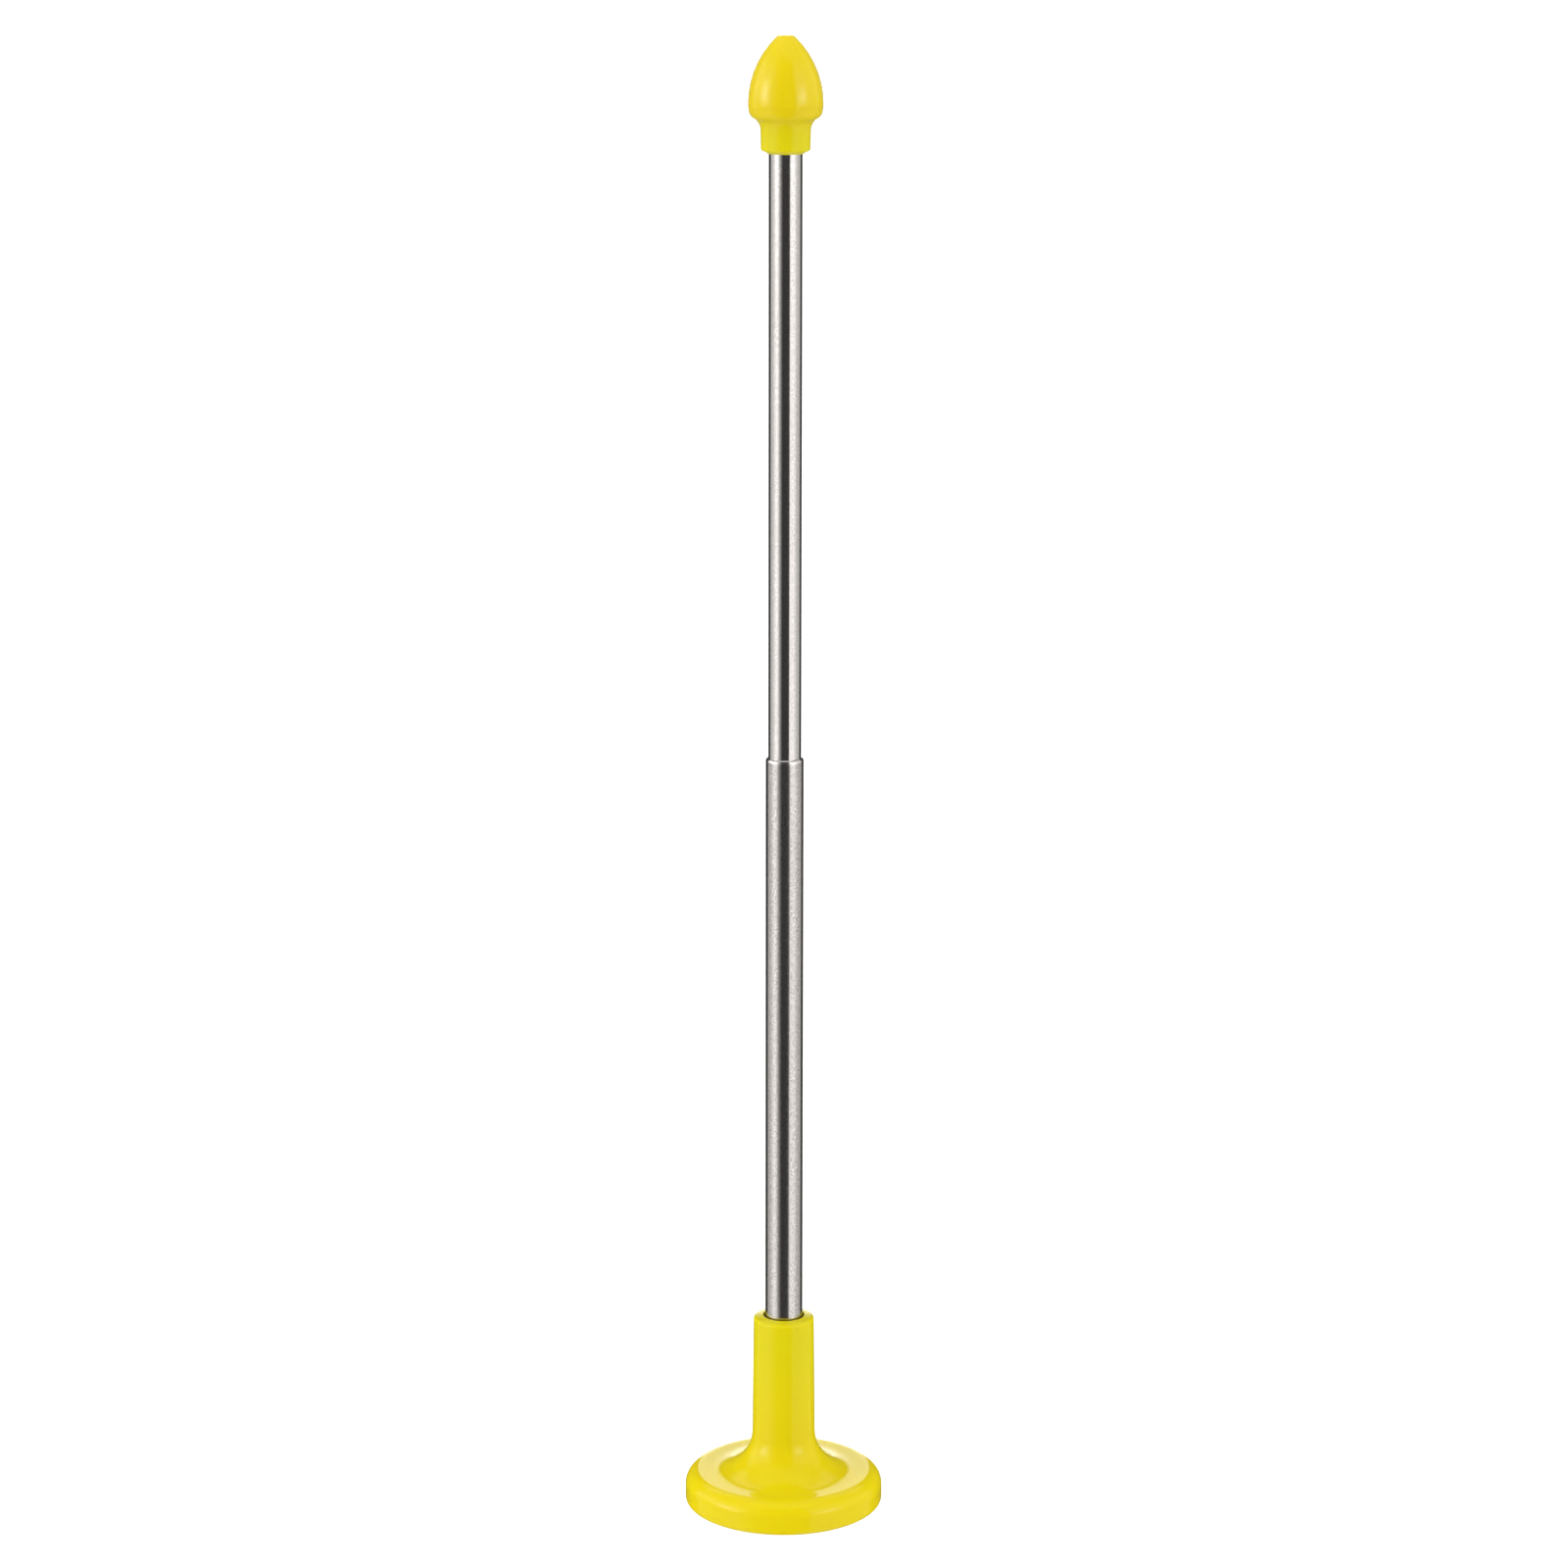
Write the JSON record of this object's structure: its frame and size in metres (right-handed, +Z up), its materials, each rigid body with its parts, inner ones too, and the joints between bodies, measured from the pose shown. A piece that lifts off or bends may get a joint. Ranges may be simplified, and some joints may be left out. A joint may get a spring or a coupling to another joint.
{
  "type": "telescopic rod on magnetic foot",
  "caption": "Telescopic steel rod with a bullet-shaped plastic tip on a round flared magnetic foot; the thinner tube slides into the thicker one and turns in it.",
  "frame": {"origin": "centre of the circle that the rubber ring rests on, under the foot", "axes": "+Z up along the rod's own axis, towards the tip; X and Y are free, because the object is turned about Z"},
  "size_m": [0.04, 0.04, 0.296],
  "materials": {
    "yellow_plastic": "glossy moulded yellow",
    "black_rubber": "matt black",
    "nickel_plate": "nickel plated",
    "zinc_steel": "zinc plated",
    "satin_steel": "satin drawn tube",
    "polished_steel": "polished drawn tube",
    "turned_brass": "turned",
    "leaf_bronze": "rolled phosphor bronze"
  },
  "bodies": {
    "stand": {"foot": "yellow_plastic", "rubber_ring": "black_rubber", "magnet": "nickel_plate", "steel_plate": "zinc_steel", "foot_screw": "zinc_steel", "tube_plug": "turned_brass", "lower_tube": "satin_steel"},
    "leaves": {"grip_leaf_left": "leaf_bronze", "grip_leaf_right": "leaf_bronze"},
    "rod": {"sliding_bush": "turned_brass", "upper_tube": "polished_steel", "tip_stud": "turned_brass", "tip_cap": "yellow_plastic"}
  },
  "joints": [
    {"name": "rod_slide", "type": "slide", "parent": "stand", "child": "leaves", "axis": [0, 0, 1], "range_m": [-0.1177, 0]},
    {"name": "rod_turn", "type": "hinge", "parent": "leaves", "child": "rod", "pos_m": [0, 0, 0.15], "axis": [0, 0, 1], "continuous": true}
  ]
}
